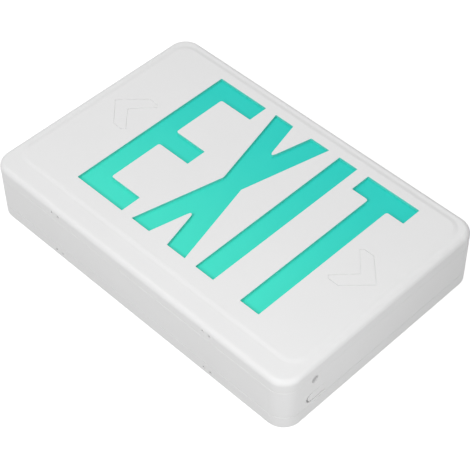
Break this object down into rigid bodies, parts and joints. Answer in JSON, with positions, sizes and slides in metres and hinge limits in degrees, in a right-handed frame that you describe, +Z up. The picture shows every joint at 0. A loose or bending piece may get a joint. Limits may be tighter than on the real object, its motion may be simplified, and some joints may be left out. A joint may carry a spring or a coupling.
{
  "type": "emergency exit light",
  "caption": "Shallow wall-fixed emergency exit light: a moulded case with a green stencil legend and direction arrows, light bars, a battery, and a test tongue beside a lamp hole.",
  "frame": {"origin": "centre of the case's back face, on the wall", "axes": "+X along the legend in reading direction, +Z up, +Y into the wall; the legend faces -Y"},
  "size_m": [0.3144, 0.053, 0.209],
  "materials": {
    "white_case": "fine matte moulded texture",
    "back_case": "fine matte moulded texture",
    "green_diffuser": "translucent green sheet, lit from behind",
    "white_inner": "reflective white",
    "light_board": "white solder mask",
    "lamp_chip": "phosphor face",
    "circuit_board": "green solder mask",
    "black_plastic": "satin",
    "red_button": "satin",
    "red_lens": "clear tinted",
    "core_steel": "laminated edges",
    "coil_tape": "taped winding",
    "can_sleeve": "printed sleeve left plain",
    "relay_case": "satin",
    "natural_plastic": "satin nylon",
    "battery_sleeve": "shrink sleeve",
    "strap": "woven",
    "lead_sleeve": "PVC insulation"
  },
  "bodies": {
    "back": {"back_plate": "back_case"},
    "housing": {"housing_frame": "white_case", "light_tray": "white_inner", "upper_light_bar": "light_board", "lower_light_bar": "light_board", "upper_lamps": "lamp_chip", "lower_lamps": "lamp_chip", "control_board": "circuit_board", "test_board": "circuit_board", "test_switch": "black_plastic", "indicator_lamp": "red_lens", "transformer_core": "core_steel", "transformer_coil": "coil_tape", "capacitors": "can_sleeve", "relay": "relay_case", "board_chips": "black_plastic", "lead_sockets": "natural_plastic", "lead_plugs": "natural_plastic", "battery_pack": "battery_sleeve", "battery_strap": "strap", "upper_bar_leads": "lead_sleeve", "lower_bar_leads": "lead_sleeve", "battery_leads": "lead_sleeve", "test_leads": "lead_sleeve"},
    "front": {"front_cover": "white_case", "green_diffuser": "green_diffuser"},
    "tongue": {"test_tongue": "white_case"},
    "plunger": {"switch_plunger": "red_button"}
  },
  "joints": [
    {"name": "case_off_plate", "type": "slide", "parent": "back", "child": "housing", "axis": [0, -1, 0], "range_m": [0, 0.06]},
    {"name": "cover_off_frame", "type": "slide", "parent": "housing", "child": "front", "axis": [0, -1, 0], "range_m": [0, 0.06]},
    {"name": "test_press", "type": "hinge", "parent": "housing", "child": "tongue", "pos_m": [0.155, -0.0185, -0.06305], "axis": [0, 1, 0], "range_deg": [0, 6.1], "stiffness_Nm_per_rad": 0.5},
    {"name": "switch_press", "type": "slide", "parent": "housing", "child": "plunger", "axis": [-1, 0, 0], "range_m": [0, 0.0015]}
  ],
  "couplings": [
    {"joint": "switch_press", "follows": "test_press", "m_per_rad": 0.014}
  ]
}
